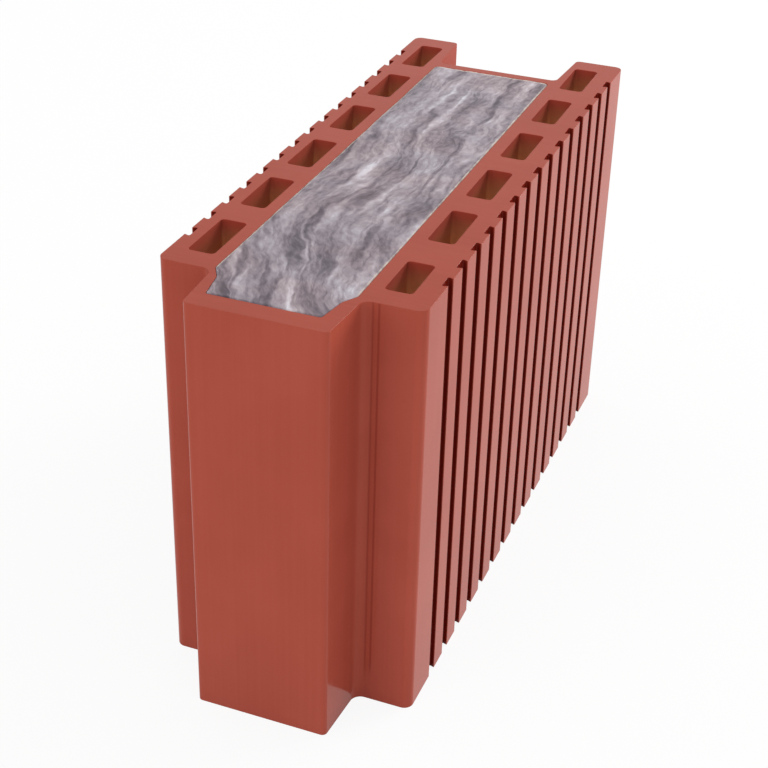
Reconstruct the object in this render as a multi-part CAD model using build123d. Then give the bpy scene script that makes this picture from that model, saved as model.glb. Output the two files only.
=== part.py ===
from build123d import *
import os

# Extruded and fired clay block for sound insulating walls, with a mineral wool infill.
# Millimetres. X runs across the wall, Y along it and Z up. The tongue points to -Y,
# the recess opens to +Y, and the holes run upwards through the whole block.

# Block body
length = 375.0                  # near flange faces to far flange ends
width = 145.0
height = 249.0
near_corner_radius = 5.5        # upright outer corners beside the tongue
far_corner_radius = 5.0         # upright outer corners beside the recess

# Walls between the outer faces, the small holes and the cavity
outer_wall = 11.2
hole_width = 15.0
inner_wall = 7.8
end_wall = 15.2                 # from the end faces to the outermost holes

# The die is not quite centred: each group sits this far off the middle, along X
hole_offset = -1.7
cavity_offset = -2.2
tongue_offset = -0.7

# Tongue on the near end
tongue_reach = 37.5
tongue_tip_wall = 13.0          # clay between the wool and the tongue's face
tongue_side_wall = 7.7
tongue_taper = 2.2              # how much wider each side is at the root
tongue_tip_radius = 3.0
tongue_root_radius = 6.0

# Recess on the far end, which takes the next block's tongue
tongue_side_gap = 1.4
tongue_end_gap = 5.0
recess_floor_radius = 4.0
recess_mouth_radius = 3.0
recess_web = 7.0                # clay between the wool and the recess

# Cavity for the wool, with shoulders where it narrows into the tongue
cavity_corner_radius = 3.0
shoulder_start = 2.5
shoulder_end = -6.0
shoulder_step = 5.0
shoulder_radius = 1.5
neck_taper = 2.9                # how much narrower each side is at the neck's end
neck_root_radius = 4.0
neck_corner_radius = 1.5

# Small upright holes in two rows beside the cavity
hole_length = 40.0
hole_corner_radius = 2.5
holes_per_row = 6
short_hole_loss = 6.2           # the hole beside the tongue on the +X side is shorter by this

# Dovetail plaster keys on both long faces
groove_count = 15
groove_margin = 35.0            # from the end faces to the middle of the outermost grooves
groove_depth = 3.2
groove_mouth = 8.0
groove_floor = 10.3
groove_floor_radius = 0.8

# Mineral wool
wool_clearance = 0.3            # to the clay all round
wool_set_back = 0.5             # below the top bed face and above the lower one

half_width = width / 2
y_middle = (length - tongue_reach) / 2      # middle of the whole block, tongue included
hole_row_x = half_width - outer_wall - hole_width / 2
cavity_half = half_width - outer_wall - hole_width - inner_wall
neck_root_half = cavity_half - shoulder_step
neck_tip_half = neck_root_half - neck_taper
tongue_tip_half = neck_tip_half + tongue_side_wall
tongue_root_half = tongue_tip_half + tongue_taper
recess_depth = tongue_reach + tongue_end_gap
hole_pitch = (length - 2 * end_wall - hole_length) / (holes_per_row - 1)
groove_pitch = (length - 2 * groove_margin) / (groove_count - 1)


def closed_face(corners):
    # Each corner is (x, y, radius), and straight runs join them.
    points = [(x, y) for x, y, radius in corners]
    radii = [radius for x, y, radius in corners]
    return make_face(FilletPolyline(*points, radius=radii, close=True))


def both_sides(corners, middle):
    # The corners of the +X half, then the same ones mirrored, as one closed ring.
    right = [(middle + x, y, radius) for x, y, radius in corners]
    left = [(middle - x, y, radius) for x, y, radius in reversed(corners)]
    return right + left


def block_outline():
    core = both_sides(
        [
            (tongue_tip_half, -tongue_reach, tongue_tip_radius),
            (tongue_root_half, 0, tongue_root_radius),
            (tongue_root_half + tongue_side_gap, length, recess_mouth_radius),
            (tongue_tip_half + tongue_side_gap, length - recess_depth, recess_floor_radius),
        ],
        tongue_offset,
    )
    body = both_sides(
        [
            (half_width, 0, near_corner_radius),
            (half_width, length, far_corner_radius),
        ],
        0,
    )
    return closed_face(core[:2] + body[:2] + core[2:6] + body[2:] + core[6:])


def cavity_outline(gap):
    # The cavity, drawn in from the clay by a gap, so that the wool uses the same lines.
    web_face = length - recess_depth - recess_web
    return closed_face(
        both_sides(
            [
                (neck_tip_half - gap, tongue_tip_wall - tongue_reach + gap, neck_corner_radius),
                (neck_root_half - gap, shoulder_end, neck_root_radius),
                (cavity_half - gap, shoulder_start, shoulder_radius),
                (cavity_half - gap, web_face - gap, cavity_corner_radius),
            ],
            cavity_offset,
        )
    )


def hole(side, row_place):
    y = end_wall + hole_length / 2 + row_place * hole_pitch
    x = hole_offset + side * hole_row_x
    loss = short_hole_loss if side > 0 and row_place == 0 else 0
    return Pos(x, y - loss / 2) * RectangleRounded(hole_width, hole_length - loss, hole_corner_radius)


def groove(side, place):
    # A dovetail, wider at its floor than at its mouth.
    y = groove_margin + place * groove_pitch
    x_face = side * half_width
    x_floor = side * (half_width - groove_depth)
    x_outside = side * (half_width + groove_depth)
    return closed_face(
        [
            (x_outside, y - groove_mouth / 2, 0),
            (x_face, y - groove_mouth / 2, 0),
            (x_floor, y - groove_floor / 2, groove_floor_radius),
            (x_floor, y + groove_floor / 2, groove_floor_radius),
            (x_face, y + groove_mouth / 2, 0),
            (x_outside, y + groove_mouth / 2, 0),
        ]
    )


def clay_section():
    section = block_outline() - cavity_outline(0)
    for side in (-1, 1):
        section -= [hole(side, place) for place in range(holes_per_row)]
        section -= [groove(side, place) for place in range(groove_count)]
    return section


clay_block = Pos(0, -y_middle, 0) * extrude(clay_section(), amount=height)

wool_height = height - 2 * wool_set_back
mineral_wool_infill = Pos(0, -y_middle, wool_set_back) * extrude(
    cavity_outline(wool_clearance), amount=wool_height
)

os.makedirs("parts", exist_ok=True)
export_step(clay_block, "parts/clay_block.step")
export_step(mineral_wool_infill, "parts/mineral_wool_infill.step")
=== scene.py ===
import math

import bmesh
import bpy
from mathutils import Matrix, Vector, noise


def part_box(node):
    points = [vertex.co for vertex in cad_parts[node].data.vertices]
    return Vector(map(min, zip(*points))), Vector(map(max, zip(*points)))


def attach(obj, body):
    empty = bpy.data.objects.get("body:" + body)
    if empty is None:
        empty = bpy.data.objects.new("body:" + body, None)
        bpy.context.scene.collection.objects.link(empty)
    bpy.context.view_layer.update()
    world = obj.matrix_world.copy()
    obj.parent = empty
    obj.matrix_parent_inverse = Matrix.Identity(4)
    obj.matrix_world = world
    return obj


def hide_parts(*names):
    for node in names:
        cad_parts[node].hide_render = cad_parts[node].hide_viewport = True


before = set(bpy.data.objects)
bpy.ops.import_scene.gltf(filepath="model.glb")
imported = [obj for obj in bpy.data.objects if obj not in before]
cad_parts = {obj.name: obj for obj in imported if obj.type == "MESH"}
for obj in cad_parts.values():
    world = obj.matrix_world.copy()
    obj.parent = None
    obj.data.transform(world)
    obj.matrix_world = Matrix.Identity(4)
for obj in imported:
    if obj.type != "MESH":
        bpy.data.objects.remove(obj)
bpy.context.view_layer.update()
print("frame loaded:", sorted(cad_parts))

mm = 0.001

view = {
    "place": (0.2988, -0.82445, 0.6189),
    "right": (0.93034, 0.36587, 0.02451),
    "up": (-0.20589, 0.46591, 0.86055),
    "back": (0.30343, -0.80565, 0.50878),
    "lens": 77.25,
    "sensor": 36.0,
}


def makeCamera():
    data = bpy.data.cameras.new("photoView")
    data.lens = view["lens"]
    data.sensor_width = view["sensor"]
    data.clip_start, data.clip_end = 0.05, 60
    camera = bpy.data.objects.new("photoView", data)
    bpy.context.scene.collection.objects.link(camera)
    turn = Matrix((view["right"], view["up"], view["back"])).transposed()
    camera.matrix_world = Matrix.Translation(view["place"]) @ turn.to_4x4()
    bpy.context.scene.camera = camera


class Wire:  # a shader socket that takes part in Python maths
    def __init__(self, sheet, socket):
        self.sheet, self.socket = sheet, socket

    def maths(self, operation, *values):
        return self.sheet.node("Math", {"operation": operation}, dict(enumerate(values)))

    def __add__(self, other):
        return self.maths("ADD", self, other)

    def __mul__(self, other):
        return self.maths("MULTIPLY", self, other)

    def __sub__(self, other):
        return self.maths("SUBTRACT", self, other)

    def __rsub__(self, other):
        return self.maths("SUBTRACT", other, self)

    def __abs__(self):
        return self.maths("ABSOLUTE", self)

    __radd__, __rmul__ = __add__, __mul__


class Finish:  # the nodes of one material or world
    def __init__(self, owner):
        owner.use_nodes = True
        self.owner, self.tree = owner, owner.node_tree
        self.tree.nodes.clear()

    def node(self, kind, settings=None, inputs=None, output=0):
        made = self.tree.nodes.new("ShaderNode" + kind)
        for name, value in (settings or {}).items():
            if name == "stops":
                stops = made.color_ramp.elements
                while len(stops) < len(value):
                    stops.new(0.5)
                for stop, (place, colour) in zip(stops, value):
                    stop.position, stop.color = place, colour
            else:
                setattr(made, name, value)
        for name, value in (inputs or {}).items():
            if isinstance(value, Wire):
                self.tree.links.new(value.socket, made.inputs[name])
            else:
                made.inputs[name].default_value = value
        return Wire(self, made.outputs[output]) if made.outputs else made

    def place(self):
        return self.node("TexCoord", output="Object")

    def axes(self, vector):
        split = self.node("SeparateXYZ", inputs={0: vector}).socket.node
        return [Wire(self, out) for out in split.outputs]

    def vector(self, x, y, z):
        return self.node("CombineXYZ", inputs={0: x, 1: y, 2: z})

    def noise(self, vector, scale=1.0, detail=2.0, rough=0.5):
        inputs = {"Vector": vector, "Scale": scale, "Detail": detail, "Roughness": rough}
        return self.node("TexNoise", inputs=inputs)

    def step(self, value, low, high, atLow=0.0, atHigh=1.0):  # soft and clamped
        settings = {"interpolation_type": "SMOOTHSTEP", "clamp": True}
        return self.node("MapRange", settings, {0: value, 1: low, 2: high, 3: atLow, 4: atHigh})

    def between(self, value, low, high, soft):
        return self.step(value, low, low + soft) * self.step(value, high - soft, high, 1, 0)

    def mix(self, share, first, second, blend="MIX"):
        settings = {"data_type": "RGBA", "blend_type": blend, "clamp_factor": True}
        return self.node("Mix", settings, {0: share, 6: first, 7: second}, 2)

    def cameraSees(self):  # 1 for rays that show the background, 0 for the ones that light the block
        names = ("Is Camera Ray", "Is Glossy Ray", "Is Transmission Ray")
        camera, glossy, through = [self.node("LightPath", output=name) for name in names]
        return camera.maths("MAXIMUM", camera, glossy.maths("MAXIMUM", glossy, through))

    def close(self, shader, kind="OutputMaterial"):
        self.node(kind, inputs={"Surface": shader})
        return self.owner


clay = {
    "rim": 0.3 * mm,                # worn arrises
    "rimSegments": 2,
    "wornFrom": math.radians(35),   # edges that turn by more than this are worn
    "sharpFrom": math.radians(50),  # and by more than this they stay sharp in the shading
    "body": (0.392, 0.0765, 0.0485, 1),
    "burnt": (0.366, 0.0690, 0.0430, 1),
    "pale": (0.425, 0.0920, 0.0600, 1),
    # painted shade in the dovetail grooves
    "keyPaintedShade": (0.160, 0.0120, 0.0060, 1),
    # painted light and shade inside the holes: darker rims, lighter end walls to even out the key lamp, and a
    # bright middle deep inside
    "holeRimPaintedShade": (0.255, 0.0360, 0.0240, 1),
    "holeEndPaintedShade": (0.380, 0.0560, 0.0360, 1),
    "holeDeepPaintedLight": (0.960, 0.4800, 0.2100, 1),
    "filletShadeLine": (0.220, 0.0300, 0.0200, 1),
    "roughness": 0.09,              # at its lowest
    "holeDull": 0.75,               # the sheltered faces stay duller
    "recessDull": 0.4,
    "gloss": 1.15,
    "wearDepth": 0.03 * mm,
    "halfWidth": 72.5 * mm,
    "height": 249 * mm,
    "keys": (-150 * mm, 188 * mm),  # along the block
    "keyDepth": (4.4 * mm, 0.3 * mm),
    "holes": (-162 * mm, 199 * mm),
    "holesAcross": (44 * mm, 63.5 * mm),
    "rimDepth": 25 * mm,            # the painted shade at the holes' rims ends here
    "deepFade": (30 * mm, 70 * mm),
    "recess": (160 * mm, 163 * mm),
    "recessAcross": (44 * mm, 48 * mm),
    "filletShadeLines": [                     # two painted shade lines beside the tongue's root, fading out towards the foot: from, to, share
        (44.2 * mm, 46.0 * mm, 0.8),
        (47.4 * mm, 49.3 * mm, 1.0),
    ],
    "filletShadeFace": (-165 * mm, -164 * mm),
    "filletShadeFoot": (14 * mm, 26 * mm),
    "filletShadeShare": 0.55,
}


def firedClay():
    sheet = Finish(bpy.data.materials.new("firedClay"))
    place = sheet.place()
    x, y, z = sheet.axes(place)
    facing = sheet.axes(sheet.node("NewGeometry", output="Normal"))
    bed = sheet.step(abs(facing[2]), 0.6, 0.8)                      # 1 on the cut bed faces
    upright = 1 - bed

    cloud = sheet.noise(place, 16, 3, 0.55)
    grain = sheet.noise(place, 1300, 3, 0.6)
    drag = sheet.noise(sheet.vector(x * 420, y * 420, z * 5), 1, 3, 0.6)    # die lines run upwards
    cut = sheet.noise(sheet.vector(x * 30, y * 620, z * 30), 1, 3, 0.6)     # wire drag runs across

    tone = sheet.mix(sheet.step(cloud, 0.35, 0.7), clay["body"], clay["burnt"])
    tone = sheet.mix(sheet.step(drag, 0.35, 0.75) * upright * 0.2, tone, clay["pale"])
    tone = sheet.mix(sheet.step(cut, 0.4, 0.75) * bed * 0.3, tone, clay["pale"])
    tone = sheet.mix(sheet.step(grain, 0.62, 0.72) * 0.25, tone, clay["pale"])

    side = abs(x)
    # the dovetail grooves are painted almost black: painted shade in the recesses
    inKeyShade = sheet.between(side, *[clay["halfWidth"] - depth for depth in clay["keyDepth"]], 0.5 * mm)
    inKeyShade = inKeyShade * sheet.between(y, *clay["keys"], 1 * mm) * upright
    tone = sheet.mix(inKeyShade, tone, clay["keyPaintedShade"])
    fromBed = z.maths("MINIMUM", z, clay["height"] - z)
    # painted shade at the hole rims, lighter on the end walls, and painted light deeper in the holes
    inHole = sheet.between(side, *clay["holesAcross"], 1 * mm) * sheet.between(y, *clay["holes"], 1 * mm) * upright
    rim = sheet.mix(sheet.step(abs(facing[1]), 0.3, 0.9), clay["holeRimPaintedShade"], clay["holeEndPaintedShade"])
    paintedDeepLight = sheet.mix(sheet.step(fromBed, *clay["deepFade"]), clay["holeDeepPaintedLight"], clay["body"])
    tone = sheet.mix(inHole, tone, sheet.mix(sheet.step(fromBed, 0, clay["rimDepth"]), rim, paintedDeepLight))
    # painted shade: two dark lines beside the tongue's root, stopping short of the foot
    filletShade = sum(sheet.between(x, low, high, 0.8 * mm) * share for low, high, share in clay["filletShadeLines"])
    filletShade = filletShade * sheet.step(y, *clay["filletShadeFace"], 1, 0) * sheet.step(z, *clay["filletShadeFoot"]) * upright
    tone = sheet.mix(filletShade * clay["filletShadeShare"], tone, clay["filletShadeLine"])

    relief = grain * 0.4 + drag * upright * 0.6 + cut * bed
    wear = sheet.node("Bump", inputs={"Height": relief, "Distance": clay["wearDepth"]})
    inRecess = sheet.step(y, *clay["recess"]) * sheet.step(side, *clay["recessAcross"], 1, 0) * upright
    shine = sheet.noise(place, 60) * 0.10 + clay["roughness"] + bed * 0.1
    shine = shine + inHole * clay["holeDull"] + inRecess * clay["recessDull"]
    inputs = {"Base Color": tone, "Roughness": shine, "Normal": wear, "IOR": clay["gloss"]}
    return sheet.close(sheet.node("BsdfPrincipled", inputs=inputs))


def mergedCopy(name):  # the CAD node's own triangles, joined up
    shape = bmesh.new()
    shape.from_mesh(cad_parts[name].data)
    bmesh.ops.remove_doubles(shape, verts=shape.verts, dist=1e-6)
    bmesh.ops.dissolve_limit(shape, angle_limit=math.radians(0.5), verts=shape.verts, edges=shape.edges)
    return shape


def finishPiece(shape, name, material, node):
    bmesh.ops.recalc_face_normals(shape, faces=shape.faces)
    for face in shape.faces:
        face.smooth = True
    mesh = bpy.data.meshes.new(name)
    shape.to_mesh(mesh)
    shape.free()
    mesh.materials.append(material)
    piece = bpy.data.objects.new(name, mesh)
    bpy.context.scene.collection.objects.link(piece)
    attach(piece, "root")
    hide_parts(node)
    print(name, "has", len(mesh.polygons), "faces")
    return piece


def makeClay():
    shape = mergedCopy("clay_block")
    rims = [edge for edge in shape.edges if edge.is_manifold and edge.calc_face_angle() > clay["wornFrom"]]
    bmesh.ops.bevel(
        shape, geom=rims, offset=clay["rim"], offset_type="OFFSET", segments=clay["rimSegments"], profile=0.5,
        affect="EDGES", clamp_overlap=False, material=-1,
    )
    for edge in shape.edges:
        edge.smooth = not edge.is_manifold or edge.calc_face_angle() < clay["sharpFrom"]
    piece = finishPiece(shape, "clayBody", firedClay(), "clay_block")
    piece.modifiers.new("evenShading", "WEIGHTED_NORMAL").keep_sharp = True


wool = {
    "cell": 1.6 * mm,
    "relief": 0.55 * mm,
    "top": 248.95 * mm,
    "bottom": 0.6 * mm,
    "slant": 34 * mm,               # how far the layers drift sideways near the tongue
    "slantLength": 40 * mm,
    "wave": 6.5 * mm,               # their sway along the block, on the left half
    "waveLength": 150 * mm,
    "waveTop": -10 * mm,
    "waveAcross": (-8 * mm, 28 * mm),   # full up to the first, none past the second
    "waveAlong": (5 * mm, 75 * mm),
    "waveLeft": 0.15,               # the share of it at the far end
    "nearEnd": -193 * mm,
    "farEnd": 156.4 * mm,
    "halfWidth": 38.2 * mm,
    "middle": -2.2 * mm,
    "tones": [
        (0.00, (0.083, 0.062, 0.079, 1)),
        (0.25, (0.181, 0.143, 0.169, 1)),
        (0.50, (0.310, 0.257, 0.285, 1)),
        (0.75, (0.452, 0.394, 0.430, 1)),
        (1.00, (0.650, 0.620, 0.665, 1)),
    ],
    "streaks": [                    # bands, layers and mottle: scale across and along, shift, detail
        (46, 7, 0, 2),
        (130, 22, 5, 2),
        (430, 170, 9, 2),
    ],
    "lines": [                      # creases, gaps and wisps (the first two painted darker as painted shade): their streaks, half width, the patches that have them
        ((120, 15, 71, 1), 0.05, (60, 22, 83, 2), (0.40, 0.60)),
        ((58, 6, 21, 1), 0.05, (40, 10, 31, 2), (0.42, 0.58)),
        ((66, 8, 43, 1), 0.07, (44, 12, 57, 2), (0.45, 0.60)),
    ],
    "level": 0.45,
    "markFade": 16 * mm,
    "marks": [                      # creases, painted darker as painted shade, and paler drifts: across at both ends, from, to, half width, strength
        (13, 19, -138, -42, 1.6, -0.20),
        (19, 19, -58, 100, 1.6, -0.24),
        (17, 16, 96, 178, 1.8, -0.18),
        (-23, -20.5, -216, -142, 2.2, 0.24),
        (-21, -9, -158, -88, 2.2, 0.22),
        (-38, -26, -212, -146, 1.6, -0.12),
        (-27, -17, -162, -88, 1.5, -0.12),
        (-17.5, -11, -104, -50, 1.8, -0.13),
        (-11, -14, -66, 8, 1.4, -0.18),
        (-14, -9.5, -8, 40, 1.4, -0.18),
        (-20, -20, -55, 45, 3.2, 0.15),
        (-41, -41, -75, 40, 3.0, 0.14),
        (-59, -46.5, -200, -130, 2.4, -0.16),
        (-47, -32, -146, -76, 3.0, -0.12),
        (-44, -37, -200, -140, 2.2, 0.14),
        (-54, -46, -205, -145, 1.8, 0.18),
        (27, 27, 105, 175, 3.4, 0.26),
        (-25, -25, 25, 175, 2.2, -0.14),
        (-14, -14, 70, 140, 1.1, 0.16),
    ],
    "warm": (1.02, 0.98, 0.97, 1),
    "cool": (0.98, 1.01, 1.03, 1),
    "rimTone": (0.620, 0.530, 0.450, 1),
    "rimSides": (0.9 * mm, 0.5 * mm),
    "rimFar": (1.7 * mm, 1.0 * mm),
    "bump": 0.7 * mm,
}


def rockWool():
    sheet = Finish(bpy.data.materials.new("rockWool"))
    place = sheet.place()
    x, y, z = sheet.axes(place)
    fade = (y - wool["nearEnd"]) * (-1 / wool["slantLength"])
    turn = (y - wool["waveTop"]) * (2 * math.pi / wool["waveLength"])
    sway = turn.maths("COSINE", turn) * sheet.step(y, *wool["waveAlong"], 1, wool["waveLeft"])
    sway = sway * sheet.step(x, *wool["waveAcross"], wool["wave"], 0)
    across = x - fade.maths("EXPONENT", fade) * wool["slant"] - sway
    across = across + (sheet.noise(place, 13, 2) - 0.5) * (11 * mm)
    across = across + (sheet.noise(sheet.vector(x * 80, y * 48, z * 80), 1, 2) - 0.5) * (9 * mm)

    def streaks(fine, coarse, shift, detail):
        return sheet.noise(sheet.vector(across * fine + shift, y * coarse, z * fine), 1, detail)

    def lines(own, half, patches, kept):  # along the level where the noise crosses its middle
        return sheet.step(abs(streaks(*own) - 0.5), 0, half, 1, 0) * sheet.step(streaks(*patches), *kept)

    bands, layers, mottle = [streaks(*facts) for facts in wool["streaks"]]
    creases, gaps, wisps = [lines(*facts) for facts in wool["lines"]]
    patch = sheet.noise(place, 10, 1)

    value = (patch - 0.5) * 0.35 + (bands - 0.5) * 0.5 + (layers - 0.5) * 1.35 + (mottle - 0.5) * 0.7
    # darker in the gaps and creases: painted shade
    value = value + wool["level"] - gaps * 0.18 - creases * 0.14 + wisps * 0.24
    for first, last, start, end, half, strength in wool["marks"]:
        course = {0: y, 1: start * mm, 2: end * mm, 3: first * mm, 4: last * mm}
        middle = sheet.node("MapRange", {"clamp": False}, course)
        mark = sheet.step(abs(across - middle), half * 0.3 * mm, half * 1.4 * mm, strength, 0)
        value = value + mark * sheet.between(y, start * mm, end * mm, wool["markFade"])
    tone = sheet.node("ValToRGB", {"stops": wool["tones"]}, {0: value})
    tint = sheet.mix(sheet.step(sheet.noise(place, 34, 2), 0.35, 0.65), wool["warm"], wool["cool"])
    tone = sheet.mix(1.0, tone, tint, "MULTIPLY")
    sides = sheet.step(abs(x - wool["middle"]), *[wool["halfWidth"] - inset for inset in wool["rimSides"]])
    far = sheet.step(y, *[wool["farEnd"] - inset for inset in wool["rimFar"]])
    edge = sides.maths("MAXIMUM", sides, far)                       # loose pale fibres along the clay
    tone = sheet.mix(edge * sheet.step(mottle, 0.35, 0.65, 0.3, 0.9), tone, wool["rimTone"])
    height = layers * 0.6 + mottle * 0.8 - gaps * 0.5
    relief = sheet.node("Bump", inputs={"Height": height, "Distance": wool["bump"], "Strength": 0.8})
    inputs = {"Base Color": tone, "Roughness": 0.85, "Normal": relief, "Sheen Weight": 0.1, "Sheen Roughness": 0.5}
    return sheet.close(sheet.node("BsdfPrincipled", inputs=inputs))


def woolRelief(p):  # 0 to 1, soft ridges that follow the layers
    drift = wool["slant"] * math.exp(-(p.y - wool["nearEnd"]) / wool["slantLength"])
    sway = math.cos((p.y - wool["waveTop"]) * 2 * math.pi / wool["waveLength"])
    left, right = wool["waveAcross"]
    start, end = wool["waveAlong"]
    sway *= wool["wave"] * min(1, max(0, (right - p.x) / (right - left)))
    sway *= min(1, max(wool["waveLeft"], (end - p.y) / (end - start)))
    across = p.x - drift - sway + 5 * mm * noise.noise(Vector((p.x, p.y, 0)) * 13)
    ridge = noise.noise(Vector((across * 130, p.y * 24, p.z)))
    fine = noise.noise(Vector((across * 380, p.y * 220, p.z)))
    return min(1, max(0, 0.5 + 0.7 * ridge + 0.4 * fine))


def makeWool():
    shape = mergedCopy("mineral_wool_infill")
    low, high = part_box("mineral_wool_infill")
    for axis in (0, 1):
        count = int((high[axis] - low[axis]) / wool["cell"])
        for i in range(1, count):
            point, normal = Vector((0, 0, 0)), Vector((0, 0, 0))
            point[axis] = low[axis] + (high[axis] - low[axis]) * i / count
            normal[axis] = 1
            cut = shape.verts[:] + shape.edges[:] + shape.faces[:]
            bmesh.ops.bisect_plane(shape, geom=cut, dist=1e-7, plane_co=point, plane_no=normal)
    for vert in shape.verts:
        rise = wool["relief"] * woolRelief(vert.co)
        vert.co.z = wool["top"] + rise - wool["relief"] / 2 if vert.co.z > 0.1 else wool["bottom"] - rise / 2
    piece = finishPiece(shape, "woolInfill", rockWool(), "mineral_wool_infill")


studio = {
    "sky": 0.80,
    "floorSize": 14.0,
    "floorWhite": 0.90,
    "shown": 0.90,                  # how much of the floor's own white the camera sees
    "aim": (0, 0, 0.12),            # both lamps point here
    "key": {"place": (1.5, 1.9, 1.05), "size": 1.3, "watts": 40.0},
    "fill": {"place": (-0.9, -2.0, 1.0), "size": 1.8, "watts": 9.5},
}


def makeLamp(name, facts):
    data = bpy.data.lights.new(name, "AREA")
    data.shape, data.size, data.energy = "DISK", facts["size"], facts["watts"]
    lamp = bpy.data.objects.new(name, data)
    bpy.context.scene.collection.objects.link(lamp)
    lamp.location = facts["place"]
    aim = Vector(studio["aim"]) - Vector(facts["place"])
    lamp.rotation_euler = aim.to_track_quat("-Z", "Y").to_euler()


def makeStudio():
    scene = bpy.context.scene
    scene.view_settings.view_transform = "Standard"
    sky = Finish(bpy.data.worlds.new("softRoom"))
    lit, shown = [
        sky.node("Background", inputs={"Color": (1, 1, 1, 1), "Strength": strength})
        for strength in (studio["sky"], 1.0)
    ]
    scene.world = sky.close(sky.node("MixShader", inputs={0: sky.cameraSees(), 1: lit, 2: shown}), "OutputWorld")

    shape = bmesh.new()
    bmesh.ops.create_grid(shape, x_segments=1, y_segments=1, size=studio["floorSize"] / 2)
    mesh = bpy.data.meshes.new("studioFloor")
    shape.to_mesh(mesh)
    shape.free()
    floor = bpy.data.objects.new("studioFloor", mesh)
    scene.collection.objects.link(floor)
    sheet = Finish(bpy.data.materials.new("paleFloor"))
    plain = sheet.node("BsdfDiffuse", inputs={"Color": (studio["floorWhite"],) * 3 + (1,)})
    glow = sheet.node("Emission", inputs={"Color": (1, 1, 1, 1), "Strength": 1.0})
    share = sheet.cameraSees() * studio["shown"]
    mesh.materials.append(sheet.close(sheet.node("MixShader", inputs={0: share, 1: plain, 2: glow})))
    for name in ("key", "fill"):
        makeLamp(name + "Light", studio[name])
    print("studio ready")


makeCamera()
makeClay()
makeWool()
makeStudio()
